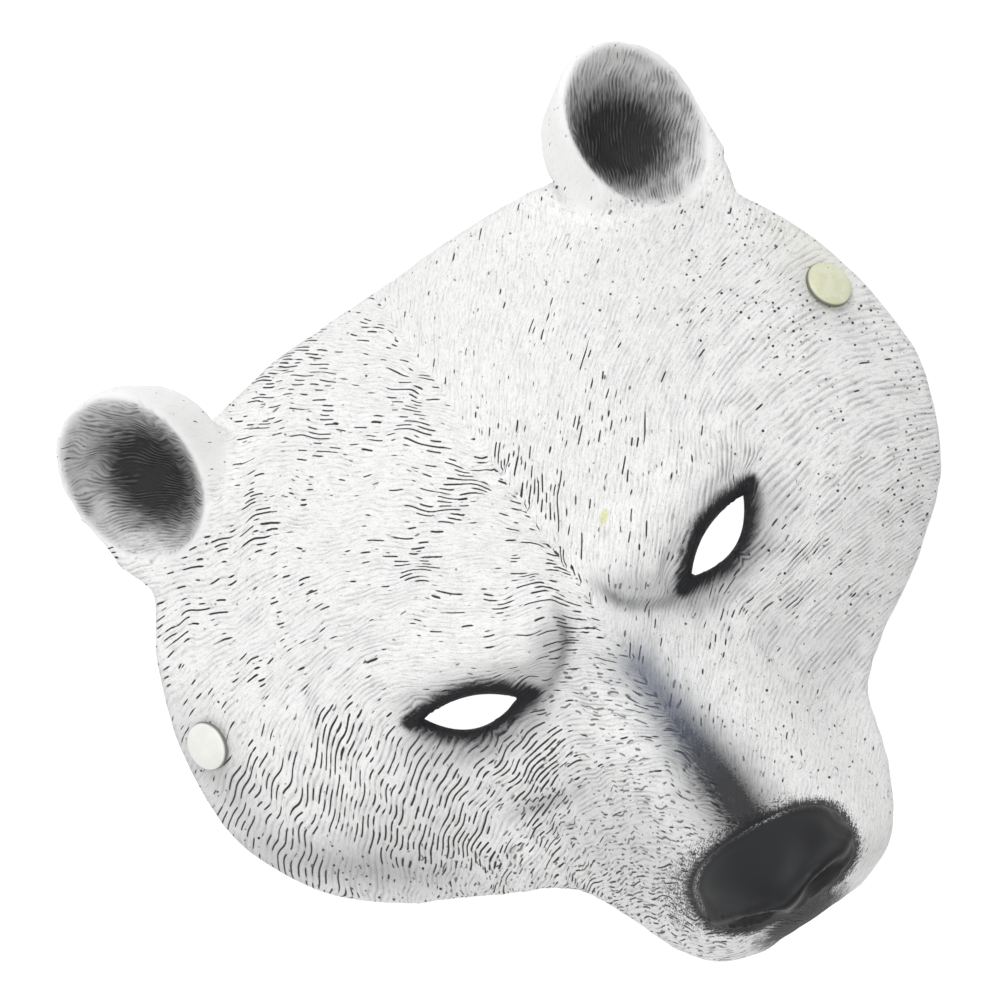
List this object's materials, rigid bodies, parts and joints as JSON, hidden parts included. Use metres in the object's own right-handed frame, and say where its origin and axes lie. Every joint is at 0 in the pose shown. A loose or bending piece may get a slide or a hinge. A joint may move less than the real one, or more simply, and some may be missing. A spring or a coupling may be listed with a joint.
{
  "type": "polar bear half mask",
  "caption": "Moulded foam half mask of a polar bear's face with cupped ears, almond eye holes, a long muzzle with a black nose, and a snap fastener at each temple.",
  "frame": {"origin": "under the middle of the mask's bounding box, on the surface that the mask's rim rests on", "axes": "+X to the viewer's right, +Y from the nose to the ears, +Z out of the face, away from the surface the mask lies on"},
  "size_m": [0.2137, 0.2092, 0.1281],
  "materials": {
    "mask_foam": "matte white paint on soft foam, airbrushed black at the eyes, nose and ears",
    "snap_white": "smooth off-white plastic",
    "snap_cream": "smooth yellowed plastic"
  },
  "bodies": {
    "root": {"mask_shell": "mask_foam", "snap_cap_left": "snap_white", "snap_cap_right": "snap_cream", "snap_socket_left": "snap_white", "snap_socket_right": "snap_cream"}
  },
  "joints": []
}
